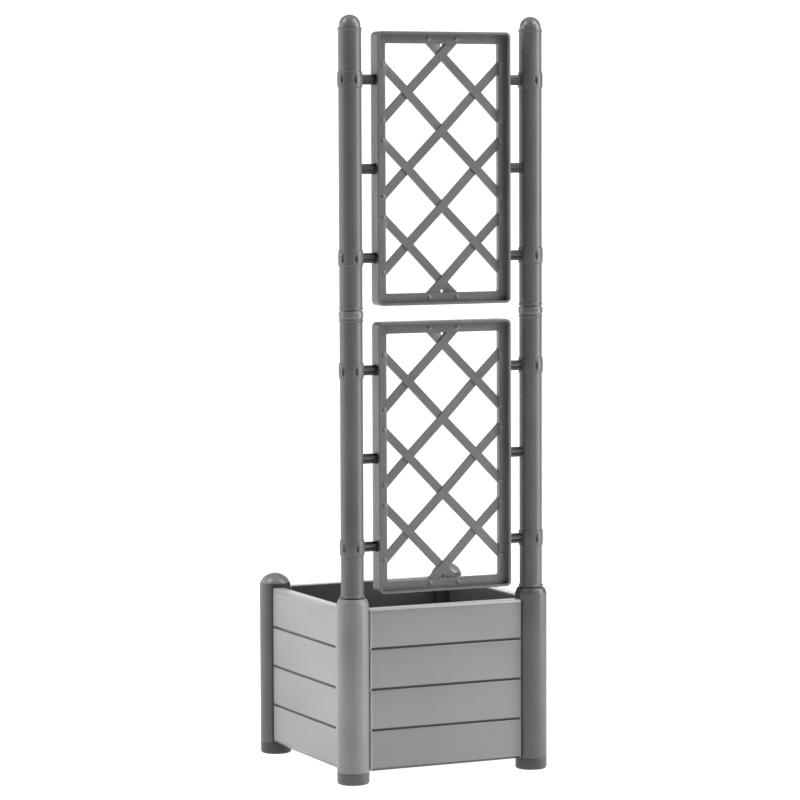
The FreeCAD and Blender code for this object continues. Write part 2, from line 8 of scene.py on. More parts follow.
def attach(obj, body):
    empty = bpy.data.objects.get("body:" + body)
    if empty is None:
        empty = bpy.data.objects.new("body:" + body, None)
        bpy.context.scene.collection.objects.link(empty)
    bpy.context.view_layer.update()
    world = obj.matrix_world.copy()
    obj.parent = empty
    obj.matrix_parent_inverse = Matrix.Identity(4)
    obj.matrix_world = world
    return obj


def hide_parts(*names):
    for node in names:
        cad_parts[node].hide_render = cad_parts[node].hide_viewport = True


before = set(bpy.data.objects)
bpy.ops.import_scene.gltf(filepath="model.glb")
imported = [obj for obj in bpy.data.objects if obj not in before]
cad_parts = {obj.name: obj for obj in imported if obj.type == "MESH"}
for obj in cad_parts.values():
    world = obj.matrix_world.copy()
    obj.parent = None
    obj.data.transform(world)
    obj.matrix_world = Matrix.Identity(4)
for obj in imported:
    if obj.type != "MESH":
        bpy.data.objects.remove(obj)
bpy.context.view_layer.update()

# ---- Foot caps -------------------------------------------------------------------------------
# Four round caps of moulded polypropylene that close the posts from below, each given its own grey as
# painted light and shade for its corner. Each is pushed up into its post until its rim meets the post's
# edge, with a fine seam.

MM = 0.001                         # sizes are in millimetres, and the scene in metres
AXIS = 185.0                       # post axes lie this far from the middle, along X and along Y
SIDES = {"left": -1, "right": 1}
ENDS = {"front": -1, "rear": 1}

POST = 30.0                        # outer radius of a post and of its foot cap
POST_WALL = 3.5
POST_BORE = POST - POST_WALL
FOOT_HEIGHT = 22.0
FOOT_EDGE = 5.0                    # easing of a foot cap's lower edge
FOOT_FLOOR = 4.0
SEAM = 0.1                         # each piece's edge stays back this far from the seam
HUB = 20.5                         # outer radius of the foot cap's middle plug
HUB_BORE = 18.0
HUB_TOP = 40.0

# Each foot's grey is painted light and shade: lighter or darker as the lamps reach its corner.
FOOT_PAINTED_LIGHT_TONES = {"front_left": 0.062, "front_right": 0.044, "rear_left": 0.028, "rear_right": 0.036}
PAINTED_SHADE_TONE = 0.035             # painted shade: the tone of a post where its panels shelter it
REFRACTION = 1.5                   # of polypropylene


def add_node(tree, kind, settings=None, sockets=None):
    """A new node's outputs. Its settings are made first, then its sockets get values or links."""
    made = tree.nodes.new(kind)
    for name, value in (settings or {}).items():
        setattr(made, name, value)
    for name, value in (sockets or {}).items():
        if isinstance(value, bpy.types.NodeSocket):
            tree.links.new(value, made.inputs[name])
        else:
            made.inputs[name].default_value = value
    return made.outputs


class Value:
    """A number that changes over a surface. Arithmetic on it adds Math nodes."""

    def __init__(self, finish, socket):
        self.finish = finish
        self.socket = socket

    def maths(self, operation, *values):
        return self.finish.node("ShaderNodeMath", {"operation": operation}, dict(enumerate(values)))

    def __add__(self, other):
        return self.maths("ADD", self, other)

    def __sub__(self, other):
        return self.maths("SUBTRACT", self, other)

    def __rsub__(self, other):
        return self.maths("SUBTRACT", other, self)

    def __mul__(self, other):
        return self.maths("MULTIPLY", self, other)

    def __abs__(self):
        return self.maths("ABSOLUTE", self)

    def larger(self, other):
        return self.maths("MAXIMUM", self, other)

    def smaller(self, other):
        return self.maths("MINIMUM", self, other)

    __radd__ = __add__
    __rmul__ = __mul__


class Finish:
    """One moulded finish: a material, and the nodes that feed its shader."""

    def __init__(self, name, **fixed):
        self.material = bpy.data.materials.new(name)
        self.material.use_nodes = True
        self.tree = self.material.node_tree
        self.shader = self.tree.nodes["Principled BSDF"]
        for socket, value in fixed.items():
            self.shader.inputs[socket.replace("_", " ")].default_value = value

    def node(self, kind, settings=None, sockets=None, output=0):
        """One output of a new node, whose sockets take plain values or Values."""
        plain = {}
        for name, value in (sockets or {}).items():
            plain[name] = value.socket if isinstance(value, Value) else value
        return Value(self, add_node(self.tree, kind, settings, plain)[output])

    def place(self, scale=(1.0, 1.0, 1.0), output="Object"):
        """A point's place on the object, or in its UV map, stretched for a pattern."""
        point = self.node("ShaderNodeTexCoord", output=output)
        return self.node("ShaderNodeMapping", None, {"Vector": point, "Scale": scale})

    def axes(self, point):
        """The three coordinates of a point, each as a number."""
        split = self.node("ShaderNodeSeparateXYZ", None, {0: point})
        return [Value(self, socket) for socket in split.socket.node.outputs]

    def noise(self, where, scale, detail=3.0, roughness=0.5):
        return self.node("ShaderNodeTexNoise", None, {
            "Vector": where, "Scale": scale, "Detail": detail, "Roughness": roughness})

    def spread(self, value, low, high, to_low=0.0, to_high=1.0):
        """Maps a span of values onto another, without going past its ends."""
        return self.node("ShaderNodeMapRange", None, {
            0: value, 1: low, 2: high, 3: to_low, 4: to_high})

    def fade(self, place, start, end, to_low=0.0, to_high=1.0):
        """Spreads a coordinate between two places that are given in millimetres."""
        return self.spread(place, start * MM, end * MM, to_low, to_high)

    def tint(self, factor, first, second):
        """Mixes two colours."""
        return self.node("ShaderNodeMix", {"data_type": "RGBA"}, {0: factor, 6: first, 7: second}, 2)

    def bump(self, height, strength, distance):
        """A relief whose distance is in millimetres."""
        return self.node("ShaderNodeBump", None, {
            "Height": height, "Strength": strength, "Distance": distance * MM})

    def feed(self, **values):
        """Links values to the shader's sockets."""
        for socket, value in values.items():
            self.tree.links.new(value.socket, self.shader.inputs[socket.replace("_", " ")])


def grey(tone):
    return (tone, tone, tone, 1)


def shades(tone):
    """A slightly darker and a slightly lighter grey about a tone."""
    return [grey(tone * share) for share in (0.88, 1.12)]


def satin_plastic(name, dark, light, roughness, clear_of_painted_shade=None):
    """Smooth moulded plastic: cloudy tone, faint flow marks along its length, fine pitting.
    The last argument gives 1 on open surfaces and 0 where painted shade makes the plastic dark and duller."""
    finish = Finish(name, IOR=REFRACTION)
    clouds = finish.noise(finish.place(), scale=9.0, detail=4.0)
    flow = finish.noise(finish.place((1.0, 1.0, 0.06)), scale=220.0, detail=2.0)
    pits = finish.noise(finish.place(), scale=900.0, detail=2.0)
    tone = finish.tint(finish.spread(clouds * 0.7 + flow * 0.3, 0.35, 0.65), dark, light)
    dull = finish.spread(clouds * 0.5 + pits * 0.5, 0.3, 0.7, roughness - 0.05, roughness + 0.07)
    if clear_of_painted_shade:
        unshaded = clear_of_painted_shade(finish)
        # Painted shade: a post turns dark and duller where its panels shelter it.
        tone = finish.tint(unshaded, grey(PAINTED_SHADE_TONE), tone)
        dull = dull + (1 - unshaded) * 0.4
    finish.feed(
        Base_Color=tone,
        Roughness=dull,
        Normal=finish.bump(pits * 0.6 + flow * 0.4, strength=0.25, distance=0.2),
    )
    return finish.material


def eased(steps, most=0.48, pieces=5):
    """Closed profile of (radius, height) corners, each cut by its easing where a third number gives
    one. An easing takes at most this share of an edge, and is drawn in this many straight pieces."""
    points = []
    for k, (radius, height, *easing) in enumerate(steps):
        corner = Vector((radius, height))
        if not easing:
            points.append(corner)
            continue
        back = Vector(steps[k - 1][:2]) - corner
        on = Vector(steps[(k + 1) % len(steps)][:2]) - corner
        reach = min(easing[0], back.length * most, on.length * most)
        start = corner + back.normalized() * reach
        end = corner + on.normalized() * reach
        for i in range(pieces + 1):
            t = i / pieces
            points.append(start * (1 - t) ** 2 + corner * 2 * t * (1 - t) + end * t ** 2)
    return points


def added(name, data):
    """Puts an object with this mesh, light or camera into the scene."""
    thing = bpy.data.objects.new(name, data)
    bpy.context.scene.collection.objects.link(thing)
    return thing


def smooth(mesh, sharp):
    """Shades a mesh smoothly, creased where it turns by more than this many degrees."""
    mesh.shade_smooth()
    mesh.set_sharp_from_angle(angle=math.radians(sharp))


def solid(name, shape, sharp=38):
    """Makes a smooth-shaded object of a bmesh."""
    mesh = bpy.data.meshes.new(name)
    shape.to_mesh(mesh)
    shape.free()
    smooth(mesh, sharp)
    return added(name, mesh)


def turned(name, steps, x, y, sides=96, dent=None):
    """A round piece about the upright line through (x, y), from its closed profile. dent gives how
    far a point of it moves outwards."""
    shape = bmesh.new()
    rings = []
    for radius, height in eased(steps):
        if radius == 0:
            rings.append([shape.verts.new((x * MM, y * MM, height * MM))])
            continue
        ring = []
        for k in range(sides):
            angle = math.tau * k / sides
            far = radius + (dent(angle, radius, height) if dent else 0.0)
            ring.append(shape.verts.new((
                (x + far * math.cos(angle)) * MM, (y + far * math.sin(angle)) * MM, height * MM)))
        rings.append(ring)
    for low, high in zip(rings, rings[1:] + rings[:1]):
        if len(low) == 1 and len(high) == 1:
            continue
        for k in range(sides):
            j = (k + 1) % sides
            corners = [low[k % len(low)], low[j % len(low)], high[j % len(high)], high[k % len(high)]]
            shape.faces.new(list(dict.fromkeys(corners)))
    bmesh.ops.recalc_face_normals(shape, faces=shape.faces)
    return solid(name, shape)


def fitted(piece, material, body, slot, *nodes):
    """Gives a piece its finish and ties it to the body and nodes that it stands for."""
    piece.data.materials.clear()
    piece.data.materials.append(material)
    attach(piece, body)
    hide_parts(*nodes)


for end, depth in ENDS.items():
    for side, across in SIDES.items():
        corner = f"{end}_{side}"
        foot = turned(f"foot_{corner}", [
            (0, 0), (POST, 0, FOOT_EDGE), (POST, FOOT_HEIGHT - SEAM, 0.7),
            (POST_BORE, FOOT_HEIGHT - SEAM), (POST_BORE, FOOT_FLOOR), (HUB, FOOT_FLOOR),
            (HUB, HUB_TOP, 0.6), (HUB_BORE, HUB_TOP, 0.6), (HUB_BORE, FOOT_FLOOR), (0, FOOT_FLOOR),
        ], across * AXIS, depth * AXIS)
        foot_finish = satin_plastic(f"foot plastic {corner}", *shades(FOOT_PAINTED_LIGHT_TONES[corner]), 0.36)
        fitted(foot, foot_finish, "planter_box", "cap_plastic", f"foot_cap_{corner}")

# ---- Corner posts ----------------------------------------------------------------------------
# Round hollow posts of satin polypropylene, each given its own grey as painted light and shade for its
# corner. The rear ones end flat under a domed cap; the front ones close in a soft shoulder round the
# trellis tube's socket.

# Each post's grey is painted light and shade: lighter or darker as the lamps reach its corner.
POST_PAINTED_LIGHT_TONES = {"front_left": 0.168, "front_right": 0.084, "rear_left": 0.066, "rear_right": 0.08}
POST_TOP = 333.5
SOCKET_TOP = 346.0
SOCKET_BOTTOM = SOCKET_TOP - 75.0
SOCKET_BORE = 18.3
SOCKET_SLEEVE = 20.8               # outer radius of the sleeve that lines the socket

LOWER_EDGE = [(POST_BORE, FOOT_HEIGHT), (POST, FOOT_HEIGHT + SEAM, 0.7)]
SHOULDER = [(POST, 335.4, 0.9), (28.1, 340.9, 3), (25.9, 345.3, 0.9), (25, SOCKET_TOP, 0.3)]
POST_PROFILES = {
    "front": LOWER_EDGE + SHOULDER + [
        (SOCKET_BORE, SOCKET_TOP, 0.5), (SOCKET_BORE, SOCKET_BOTTOM), (SOCKET_SLEEVE, SOCKET_BOTTOM),
        (SOCKET_SLEEVE, SOCKET_TOP - POST_WALL), (POST_BORE, POST_TOP),
    ],
    "rear": LOWER_EDGE + [(POST, POST_TOP, 0.8), (POST_BORE, POST_TOP)],
}


def clear_of_panel_shade(finish):
    """Falls to 0 on the part of a post that its two panels shelter, where shade is painted in. The places
    are in millimetres outside the lines of the post axes."""
    x, y = finish.axes(finish.place())[:2]
    u = abs(x) - AXIS * MM
    v = abs(y) - AXIS * MM
    past_side_panel = finish.fade(u, 16.8, 19.5)
    past_end_panel = finish.fade(v, 9.0, 11.0)
    outside_in_x = finish.fade(u, -2.0, 2.0)
    outside_in_y = finish.fade(v, -2.0, 2.0)
    return past_end_panel.larger(outside_in_x) * past_side_panel.larger(outside_in_y)


for side, across in SIDES.items():
    for end, depth in ENDS.items():
        corner = f"{end}_{side}"
        post = turned(f"post_{corner}", POST_PROFILES[end], across * AXIS, depth * AXIS)
        post_finish = satin_plastic(
            f"post plastic {corner}", *shades(POST_PAINTED_LIGHT_TONES[corner]), 0.38, clear_of_panel_shade)
        fitted(post, post_finish, "planter_box", "post_plastic", f"corner_post_{corner}")

# ---- Side panels -----------------------------------------------------------------------------
# Four double-walled mouldings of polypropylene, each like four boards on top of each other, with a
# faint embossed wood grain. They are hollow and open below, and hold to the posts by tongues.

PANEL_FACE = 202.0                 # outer face of a panel, from the middle of the box
PANEL_BACK = 177.0                 # inner face of a panel
PANEL_TOP = 326.0
PANEL_END = AXIS - POST            # where a panel meets a post, on the line of the post axes
WELD = 1e-6                        # points closer than this become one, in metres


def baked(piece):
    """Turns what a piece's modifiers make into its plain mesh."""
    depsgraph = bpy.context.evaluated_depsgraph_get()
    mesh = bpy.data.meshes.new_from_object(piece.evaluated_get(depsgraph))
    piece.modifiers.clear()
    piece.data = mesh
    return piece


def cleaned(node, name, ease):
    """A joined-up copy of a CAD node with its edges eased, to stand for it."""
    shape = bmesh.new()
    shape.from_mesh(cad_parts[node].data)
    bmesh.ops.remove_doubles(shape, verts=shape.verts, dist=WELD)
    bmesh.ops.dissolve_limit(shape, angle_limit=math.radians(1), verts=shape.verts, edges=shape.edges)
    piece = solid(name, shape)
    bevel = piece.modifiers.new("eased edges", "BEVEL")
    bevel.width = ease * MM
    bevel.segments = 2
    bevel.limit_method = "ANGLE"
    bevel.angle_limit = math.radians(32)
    bevel.harden_normals = True
    return baked(piece)


def grained_plastic(name, dark, light, roughness, drawn_out, relief):
    """Plastic with an embossed wood grain along the boards. Each metre along them counts as only
    drawn_out metres of the pattern. Painted shade darkens the inside and the grooves, a painted highlight
    pales the crest, and painted light and shade grade the outer faces."""
    finish = Finish(name, IOR=REFRACTION)
    point = finish.place()
    x, y, z = finish.axes(point)
    outwards = abs(x).larger(abs(y))
    endwards = abs(x).smaller(abs(y))

    # A surface is clear of painted shade where it lies further out than this limit, which follows the outer
    # face, moves in to the inner one at the crest, and draws back at the rounded ends. Further in, shade is
    # painted.
    limit = finish.fade(z, PANEL_TOP - 18, PANEL_TOP - 14, (PANEL_FACE - 1.2) * MM, (PANEL_BACK + 1.5) * MM)
    limit = limit - finish.fade(endwards, PANEL_END - 1.5, PANEL_END, 0.0, 15 * MM)
    clear_of_inner_shade = finish.fade(outwards - limit, -0.6, 0.6)

    run = x + y
    drift = finish.noise(finish.node("ShaderNodeCombineXYZ", None, {0: run, 1: z}), scale=7.0, detail=2.0)
    grain_at = finish.node("ShaderNodeCombineXYZ", None, {
        0: run * drawn_out, 1: z + drift * 0.03, 2: x - y})
    fibres = finish.noise(grain_at, scale=420.0, roughness=0.6)
    clouds = finish.noise(point, scale=6.0)
    pits = finish.noise(point, scale=700.0, detail=2.0)
    tone = finish.tint(finish.spread(clouds * 0.45 + fibres * 0.55, 0.35, 0.65), dark, light)

    # Painted light and shade: the left panel is paler towards the front, and the front panel dimmer near
    # its right end.
    on_left = finish.fade(x, 12 - PANEL_FACE, 4 - PANEL_FACE)
    on_front = finish.fade(y, 12 - PANEL_FACE, 4 - PANEL_FACE)
    painted_light_left = finish.fade(y, AXIS, -AXIS, 0.0, 0.45) * on_left
    painted_shade_front = finish.fade(x, PANEL_END - 25, PANEL_END + 13, 0.0, 0.5) * on_front
    tone = finish.tint(painted_light_left, tone, grey(0.3))
    tone = finish.tint(painted_shade_front, tone, grey(0.06))

    # A painted highlight on the rounded crest, and painted light on the ends that turn in to the left
    # posts.
    tone = finish.tint(finish.fade(z, PANEL_TOP - 5.2, PANEL_TOP - 1), tone, grey(0.42))
    painted_light_turned_in = finish.fade(x, 2.2 - PANEL_END, 1 - PANEL_END) * finish.fade(abs(y), AXIS, AXIS + 5)
    tone = finish.tint(painted_light_turned_in, tone, grey(0.36))

    # Painted shade: the inside of the panel and the beds of its grooves are dark.
    painted_shade_inside_or_groove = finish.tint(finish.fade(outwards, AXIS + 1, AXIS + 3), grey(0.062), grey(0.02))
    dull = finish.spread(fibres * 0.6 + clouds * 0.4, 0.3, 0.7, roughness + 0.06, roughness - 0.06)
    crest = finish.fade(z, PANEL_TOP - 7.5, PANEL_TOP - 3.5)
    finish.feed(
        Base_Color=finish.tint(clear_of_inner_shade, painted_shade_inside_or_groove, tone),
        Roughness=dull - crest * 0.08,
        Normal=finish.bump((fibres * 0.8 + pits * 0.2) * (1 - crest), strength=relief, distance=0.4),
    )
    return finish.material


panel_finish = grained_plastic(
    "panel plastic", grey(0.177), grey(0.208), roughness=0.36, drawn_out=0.07, relief=0.1)
for place in ("front", "right", "rear", "left"):
    panel = cleaned(f"{place}_panel", f"panel_{place}", ease=0.6)
    fitted(panel, panel_finish, "planter_box", "panel_plastic", f"{place}_panel")

# ---- Floor plate -----------------------------------------------------------------------------
# A ribbed plate of dull polypropylene, moulded with drain holes. It carries the soil and lies on
# ledges inside the panels.

floor_finish = satin_plastic("floor plastic", (0.035, 0.035, 0.036, 1), (0.055, 0.055, 0.056, 1), 0.55)
plate = cleaned("floor_plate", "soil_floor", ease=0.4)
fitted(plate, floor_finish, "planter_box", "floor_plastic", "floor_plate")

# ---- Rear post caps --------------------------------------------------------------------------
# Shallow domes of moulded polypropylene, one on each rear post. A hollow plug below each pushes
# into the post's open end, and the cap pulls off by hand.

SEAT_GAP = 0.3                     # under a piece that lifts off
CAP_PLUG = POST_BORE - 0.3
CAP_PLUG_END = POST_TOP - 11.0
CAP_BASE = POST_TOP + SEAT_GAP
CAP_RIM = 28.7
CAP_RIM_HEIGHT = 0.8
CAP_DOME = 18.4                    # height of the dome above the rim
CAP_SHELL = 2.5
CAP_BORE = CAP_PLUG - CAP_SHELL


def dome(radius, base, rise, count=14):
    """Profile points of a ball's cap from its rim to its pole."""
    ball = (radius ** 2 + rise ** 2) / (2 * rise)
    spread = math.atan2(radius, ball - rise)
    points = []
    for k in range(count + 1):
        angle = spread * (1 - k / count)
        points.append((ball * math.sin(angle), base + rise - ball + ball * math.cos(angle)))
    return points


def hollow_dome(inside, radius, base, rise, shell):
    """Profile of a dome with a wall, from its outer rim over the pole to the rim of its hollow."""
    return dome(radius, base, rise) + dome(inside, base, rise - shell)[::-1]


cap_finish = satin_plastic("cap plastic", grey(0.15), grey(0.19), 0.3)
for side, across in SIDES.items():
    cap = turned(f"cap_rear_{side}", [
        (CAP_PLUG, CAP_PLUG_END, 0.8), (CAP_PLUG, CAP_BASE), (CAP_RIM, CAP_BASE, 0.3),
        *hollow_dome(CAP_BORE, CAP_RIM, CAP_BASE + CAP_RIM_HEIGHT, CAP_DOME, CAP_SHELL),
        (CAP_BORE, CAP_PLUG_END, 0.8),
    ], across * AXIS, AXIS)
    fitted(cap, cap_finish, f"rear_cap_{side}", "cap_plastic", f"post_cap_rear_{side}")

# ---- Trellis tubes ---------------------------------------------------------------------------
# Two tubes of satin polypropylene on each side, one on the other, the lower one plugged into its
# post. Lips finish their ends, and barrel-shaped swellings with upright oval pockets stiffen them
# where the outer pegs go in.

TUBE = 21.2                        # outer radius of a tube where it is plain
TUBE_WALL = 2.5
TUBE_BORE = TUBE - TUBE_WALL
TUBE_LENGTH = 516.0
LOWER_FOOT = SOCKET_TOP + SEAT_GAP
LOWER_TOP = LOWER_FOOT + TUBE_LENGTH
UPPER_FOOT = LOWER_TOP + 18.0      # a coupler's ring and necks lie between
ROUND = 240                        # sides of a tube or ring, enough to draw its pockets or button

LIP = 22.4                         # outer radius of the lip at a tube's end
LIP_HEIGHT = 2.6
LIP_TAPER = 2.0                    # height of the slope between a lip and the plain wall
PLUG = 18.0                        # outer radius of the plug below a lower tube
PLUG_LENGTH = 70.0
PLUG_BORE = PLUG - TUBE_WALL
TUBE_FLOOR = 4.0                   # thickness of the floor above the plug's bore
NECK = 19.2                        # a narrow neck stands on the post, and a wider lip on the neck
NECK_HEIGHT = 2.2
FOOT_LIP = 23.2
FOOT_LIP_HEIGHT = 2.4

PEG_PITCH = 163.5
SWELLING = 23.4                    # radius of a swelling at its middle,
SWELLING_START = 22.7              # where its bow begins
SWELLING_EDGE = 22.5               # and at its edge
SWELLING_HALF = 15.1               # half its height at the tube's wall,
SWELLING_EDGE_HALF = 14.3          # at its edge
SWELLING_BOW_HALF = 13.6           # and where its bow begins
SWELLING_STEPS = 44

POCKET_TURNS = (90, 150, 210, 270)     # degrees from the side that the pegs are on
POCKET_HALF_WIDTH = 4.3
POCKET_HALF_HEIGHT = 9.8
POCKET_REACH = 12.0                # no pocket reaches further than this above or below its middle
POCKET_WALL = 0.5                  # share of a pocket that its soft wall takes
POCKET_FLOOR = 20.3                # distance of a pocket's floor from the tube's axis


def swelling(middle):
    """Profile of the barrel-shaped swelling about this height."""
    below = [(TUBE, middle - SWELLING_HALF, 0.3), (SWELLING_EDGE, middle - SWELLING_EDGE_HALF, 0.5)]
    above = [(SWELLING_EDGE, middle + SWELLING_EDGE_HALF, 0.5), (TUBE, middle + SWELLING_HALF, 0.3)]
    barrel = []
    for k in range(SWELLING_STEPS + 1):
        t = 2 * k / SWELLING_STEPS - 1
        bow = (SWELLING - SWELLING_START) * (1 - t * t)
        barrel.append((SWELLING_START + bow, middle + SWELLING_BOW_HALF * t))
    return below + barrel + above


def pockets(middle, facing):
    """How far the oval pockets round the two swellings sink in at a point."""
    places = [math.radians(facing + turn) for turn in POCKET_TURNS]

    def dent(angle, radius, height):
        if radius < TUBE:
            return 0.0
        up = abs(height - middle) - PEG_PITCH
        if abs(up) > POCKET_REACH:
            return 0.0
        deepest = 0.0
        for place in places:
            along = ((angle - place + math.pi) % math.tau - math.pi) * radius
            reach = math.hypot(along / POCKET_HALF_WIDTH, up / POCKET_HALF_HEIGHT)
            wall = min(1.0, max(0.0, (1.0 - reach) / POCKET_WALL))
            deepest = max(deepest, wall * wall * (3 - 2 * wall))
        return -deepest * (radius - POCKET_FLOOR)

    return dent


def tube(level, side, foot, foot_outside, foot_inside):
    """One tube. Its foot's profile comes in two halves, up the outside and down the inside."""
    middle = foot + TUBE_LENGTH / 2
    top = foot + TUBE_LENGTH
    piece = turned(f"tube_{level}_{side}", [
        *foot_outside, *swelling(middle - PEG_PITCH), *swelling(middle + PEG_PITCH),
        (TUBE, top - LIP_HEIGHT - LIP_TAPER, 1.5), (LIP, top - LIP_HEIGHT, 0.9), (LIP, top, 0.8),
        (TUBE_BORE, top, 0.4), *foot_inside,
    ], SIDES[side] * AXIS, -AXIS, ROUND, pockets(middle, 0 if side == "left" else 180))
    fitted(piece, tube_finish, "trellis", "tube_plastic", f"{level}_tube_{side}")


tube_finish = satin_plastic("tube plastic", grey(0.075), grey(0.095), 0.43)
LIP_BASE = LOWER_FOOT + NECK_HEIGHT
LIP_END = LIP_BASE + FOOT_LIP_HEIGHT
for side in SIDES:
    tube("lower", side, LOWER_FOOT, [
        (PLUG, LOWER_FOOT - PLUG_LENGTH, 1), (PLUG, LOWER_FOOT), (NECK, LOWER_FOOT), (NECK, LIP_BASE),
        (FOOT_LIP, LIP_BASE, 0.7), (FOOT_LIP, LIP_END, 0.9), (TUBE, LIP_END + LIP_TAPER, 1.5),
    ], [
        (TUBE_BORE, LOWER_FOOT + TUBE_FLOOR + TUBE_WALL), (PLUG_BORE, LOWER_FOOT + TUBE_FLOOR),
        (PLUG_BORE, LOWER_FOOT - PLUG_LENGTH),
    ])
    tube("upper", side, UPPER_FOOT, [
        (LIP, UPPER_FOOT, 0.8), (LIP, UPPER_FOOT + LIP_HEIGHT, 0.9),
        (TUBE, UPPER_FOOT + LIP_HEIGHT + LIP_TAPER, 1.5),
    ], [(TUBE_BORE, UPPER_FOOT, 0.4)])

# ---- Couplers --------------------------------------------------------------------------------
# A short sleeve of moulded polypropylene joins the lower and the upper tube on each side. Its
# barrel-shaped ring shows between them, with a snap button on the front.

SLEEVE = TUBE_BORE - 0.2           # outer radius of what is pushed into a tube
SLEEVE_WALL = 2.5
SLEEVE_BORE = SLEEVE - SLEEVE_WALL
SLEEVE_REACH = 40.0                # how far a coupler's sleeve reaches into each tube
LOW_NECK = 20.8                    # the necks below and above the ring
HIGH_NECK = 19.5
RING = 22.7                        # outer radius of the ring at its middle, and at its flat ends
RING_EDGE = 21.2
RING_BOW = 0.9                     # how far the ring's outside curves in at its upper and lower end
RING_BOTTOM = LOWER_TOP + 1.2
RING_TOP = UPPER_FOOT - 2.2
RING_STEPS = 20

BUTTON_HALF_WIDTH = 6.5
BUTTON_HALF_HEIGHT = 3.6
BUTTON_LIFT = 0.9
BUTTON_SLOPE = 0.8                 # width of the slope round the button


def button(angle, radius, height):
    """The snap button, raised a little on the front of the ring."""
    along = abs((angle + math.pi / 2 + math.pi) % math.tau - math.pi) * radius
    up = abs(height - (RING_BOTTOM + RING_TOP) / 2)
    edge = max(along - BUTTON_HALF_WIDTH, up - BUTTON_HALF_HEIGHT, 0.0)
    return BUTTON_LIFT * max(0.0, 1.0 - edge / BUTTON_SLOPE)


def ring_outside(inset=0.2):
    """Profile of the barrel-shaped outside of the ring."""
    height = RING_TOP - RING_BOTTOM - 2 * inset
    points = []
    for k in range(RING_STEPS + 1):
        t = 2 * k / RING_STEPS - 1
        points.append((RING - RING_BOW * t ** 4, RING_BOTTOM + inset + height * k / RING_STEPS))
    return points


ring_finish = satin_plastic("coupler plastic", grey(0.11), grey(0.14), 0.3)
for side, across in SIDES.items():
    coupler = turned(f"ring_{side}", [
        (SLEEVE, LOWER_TOP - SLEEVE_REACH, 0.6), (SLEEVE, LOWER_TOP), (LOW_NECK, LOWER_TOP),
        (LOW_NECK, RING_BOTTOM), (RING_EDGE, RING_BOTTOM, 0.3), *ring_outside(),
        (RING_EDGE, RING_TOP, 0.3), (HIGH_NECK, RING_TOP), (HIGH_NECK, UPPER_FOOT), (SLEEVE, UPPER_FOOT),
        (SLEEVE, UPPER_FOOT + SLEEVE_REACH, 0.6), (SLEEVE_BORE, UPPER_FOOT + SLEEVE_REACH, 0.4),
        (SLEEVE_BORE, LOWER_TOP - SLEEVE_REACH, 0.4),
    ], across * AXIS, -AXIS, ROUND, button)
    fitted(coupler, ring_finish, "trellis", "fitting_plastic", f"tube_coupler_{side}")

# ---- Finials ---------------------------------------------------------------------------------
# Domed knobs of the same plastic as the couplers, one on each upper tube. A hollow plug below each
# is pushed into the tube's open end.

UPPER_TOP = UPPER_FOOT + TUBE_LENGTH
KNOB = 20.0                        # outer radius of a knob
KNOB_PLUG_END = UPPER_TOP - 22.0
KNOB_RIM_HEIGHT = 3.2
KNOB_DOME = 20.5                   # height of the dome above the rim

for side, across in SIDES.items():
    knob = turned(f"knob_{side}", [
        (SLEEVE, KNOB_PLUG_END, 0.6), (SLEEVE, UPPER_TOP), (KNOB, UPPER_TOP, 0.2),
        *hollow_dome(SLEEVE_BORE, KNOB, UPPER_TOP + KNOB_RIM_HEIGHT, KNOB_DOME, SLEEVE_WALL),
        (SLEEVE_BORE, KNOB_PLUG_END, 0.6),
    ], across * AXIS, -AXIS)
    fitted(knob, ring_finish, "trellis", "fitting_plastic", f"tube_finial_{side}")

# ---- Lattice panels --------------------------------------------------------------------------
# Two identical mouldings of polypropylene: a deep rounded frame with a thin web inside it, and
# eight flat slats woven over and under each other. The grain runs along each slat and each rail.

MIDDLES = {"lower": LOWER_FOOT + TUBE_LENGTH / 2, "upper": UPPER_FOOT + TUBE_LENGTH / 2}
SLAT = 15.6                        # width of a slat
PITCH = 140.0                      # between crossings, along X and along Z
SLATS = 4                          # each way
FRAME_HALF_WIDTH = 136.0
FRAME_HALF_HEIGHT = 252.0
STILE = 20.0                       # width of the frame's upright rails, and of its level ones
RAIL = 22.0


def slat_at(x, z, allowance=0.3):
    """True where the slat on top at this point rises to the right. The allowance widens the slats
    by their eased edges."""
    gaps = {}
    for rising in (True, False):
        across = z - x if rising else z + x
        nearest = min(abs(across - PITCH * (k - (SLATS - 1) / 2)) for k in range(SLATS))
        gaps[rising] = nearest / math.sqrt(2)
    half = SLAT / 2 + allowance
    if gaps[True] < half and gaps[False] < half:
        return abs(round(x / (PITCH / 2))) % 2 == 0
    return gaps[True] < gaps[False]


def on_frame(x, z, allowance=0.2):
    """True outside the frame's opening."""
    past_stile = abs(x) > FRAME_HALF_WIDTH - STILE + allowance
    past_rail = abs(z) > FRAME_HALF_HEIGHT - RAIL + allowance
    return past_stile or past_rail


def lay_grain(piece, middle):
    """Writes a UV map whose U runs along the grain, in metres."""
    mesh = piece.data
    layer = mesh.uv_layers.new(name="grain")
    for face in mesh.polygons:
        x = face.center.x / MM
        z = face.center.z / MM - middle
        for loop in face.loop_indices:
            point = mesh.vertices[mesh.loops[loop].vertex_index].co
            px, py, pz = point.x / MM, point.y / MM, point.z / MM - middle
            if on_frame(x, z):
                upright = abs(x) / FRAME_HALF_WIDTH > abs(z) / FRAME_HALF_HEIGHT
                u, v = (pz, px) if upright else (px, pz)
            else:
                up_right, up_left = (pz + px) / math.sqrt(2), (pz - px) / math.sqrt(2)
                u, v = (up_right, up_left) if slat_at(x, z) else (up_left, up_right)
            layer.data[loop].uv = (u * MM, (v + py) * MM)


